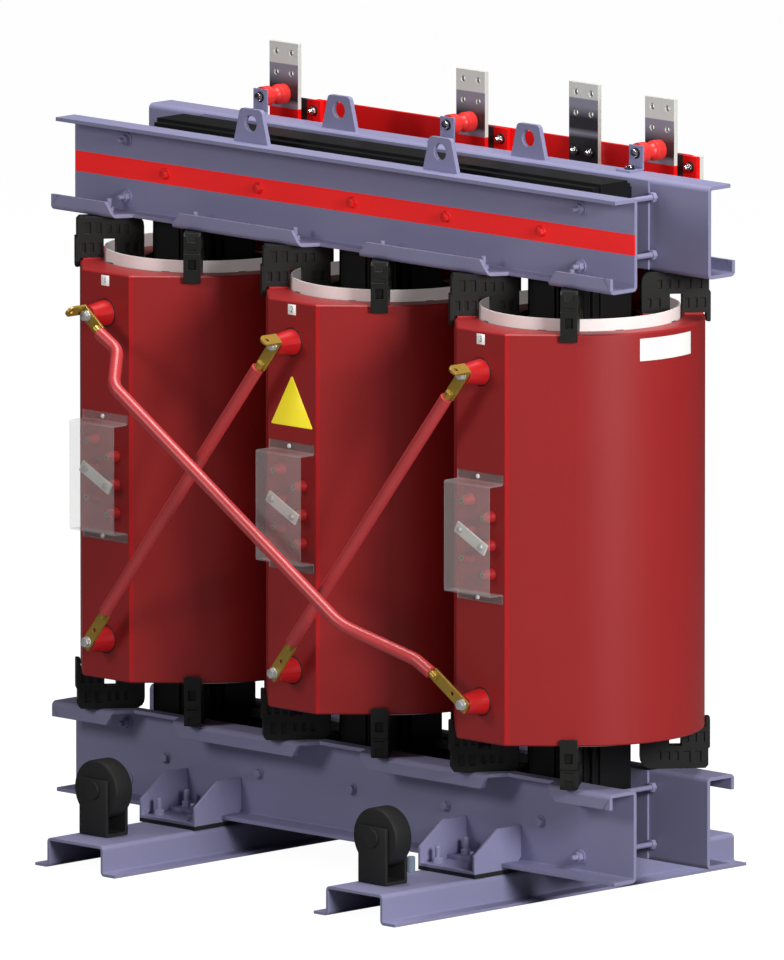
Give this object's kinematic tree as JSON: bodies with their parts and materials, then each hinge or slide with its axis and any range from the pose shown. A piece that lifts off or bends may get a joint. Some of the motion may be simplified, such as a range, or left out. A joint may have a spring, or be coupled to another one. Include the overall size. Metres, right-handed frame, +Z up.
{
  "type": "dry type transformer",
  "caption": "Three-phase cast-resin dry type transformer on two base rails, with delta links, tap links, low-voltage busbars and stowed rollers.",
  "frame": {"origin": "on the floor under the middle of the core", "axes": "+X along the core, -Y high-voltage side, +Y low-voltage side, +Z up"},
  "size_m": [1.638, 1.042, 1.652],
  "materials": {
    "core_steel": "matt black resin paint on laminated steel",
    "frame_paint": "satin lavender-grey paint",
    "plated_steel": "zinc plated",
    "cast_resin": "satin dark red cast resin",
    "foil_winding": "impregnated foil winding",
    "glass_laminate": "pale laminate",
    "press_board": "pressboard",
    "block_moulding": "moulded dark grey",
    "rubber_pad": "soft silicone",
    "bright_resin": "satin bright red resin",
    "link_metal": "passivated yellow",
    "sleeve": "heat-shrunk sleeve",
    "tinned_bar": "tinned",
    "bus_sleeve": "red insulated bar",
    "clear_cover": "clear polycarbonate sheet",
    "wheel_nylon": "cast nylon"
  },
  "bodies": {
    "frame": {"back_feet": "frame_paint", "busbar_bolts": "plated_steel", "core_limbs": "core_steel", "cover_screws": "plated_steel", "delta_sleeves": "sleeve", "duct_sticks": "press_board", "foot_bolts": "plated_steel", "foot_pads": "rubber_pad", "front_feet": "frame_paint", "hv_bushings": "bright_resin", "hv_terminal_bolts": "plated_steel", "insulator_brackets": "frame_paint", "left_barrier_cylinder": "glass_laminate", "left_base_rail": "frame_paint", "left_delta_link": "link_metal", "left_hv_coil": "cast_resin", "left_lv_coil": "foil_winding", "left_phase_bar": "tinned_bar", "lifting_lugs": "frame_paint", "long_delta_link": "link_metal", "lower_back_clamp": "frame_paint", "lower_front_clamp": "frame_paint", "lower_spacer_blocks": "block_moulding", "lower_yoke": "core_steel", "middle_barrier_cylinder": "glass_laminate", "middle_hv_coil": "cast_resin", "middle_lv_coil": "foil_winding", "middle_phase_bar": "tinned_bar", "neutral_bar": "tinned_bar", "neutral_bus": "bus_sleeve", "neutral_leads": "bus_sleeve", "post_insulators": "bright_resin", "pressing_bolts": "plated_steel", "pull_plates": "frame_paint", "right_barrier_cylinder": "glass_laminate", "right_base_rail": "frame_paint", "right_delta_link": "link_metal", "right_hv_coil": "cast_resin", "right_lv_coil": "foil_winding", "right_phase_bar": "tinned_bar", "roller_axles": "plated_steel", "roller_forks": "frame_paint", "spacer_pads": "rubber_pad", "tap_bolts": "plated_steel", "tap_cones": "bright_resin", "tap_covers": "clear_cover", "tap_links": "tinned_bar", "tie_rods": "plated_steel", "upper_back_clamp": "frame_paint", "upper_front_clamp": "frame_paint", "upper_spacer_blocks": "block_moulding", "upper_yoke": "core_steel", "yoke_bolts": "plated_steel", "yoke_insulation": "press_board"},
    "left_front_wheel": {"left_front_roller": "wheel_nylon"},
    "left_back_wheel": {"left_back_roller": "wheel_nylon"},
    "right_front_wheel": {"right_front_roller": "wheel_nylon"},
    "right_back_wheel": {"right_back_roller": "wheel_nylon"}
  },
  "joints": [
    {"name": "left_front_roller_spin", "type": "hinge", "parent": "frame", "child": "left_front_wheel", "pos_m": [-0.435, -0.412, 0.16], "axis": [0, 1, 0], "continuous": true},
    {"name": "left_back_roller_spin", "type": "hinge", "parent": "frame", "child": "left_back_wheel", "pos_m": [-0.435, 0.412, 0.16], "axis": [0, 1, 0], "continuous": true},
    {"name": "right_front_roller_spin", "type": "hinge", "parent": "frame", "child": "right_front_wheel", "pos_m": [0.385, -0.412, 0.16], "axis": [0, 1, 0], "continuous": true},
    {"name": "right_back_roller_spin", "type": "hinge", "parent": "frame", "child": "right_back_wheel", "pos_m": [0.385, 0.412, 0.16], "axis": [0, 1, 0], "continuous": true}
  ]
}
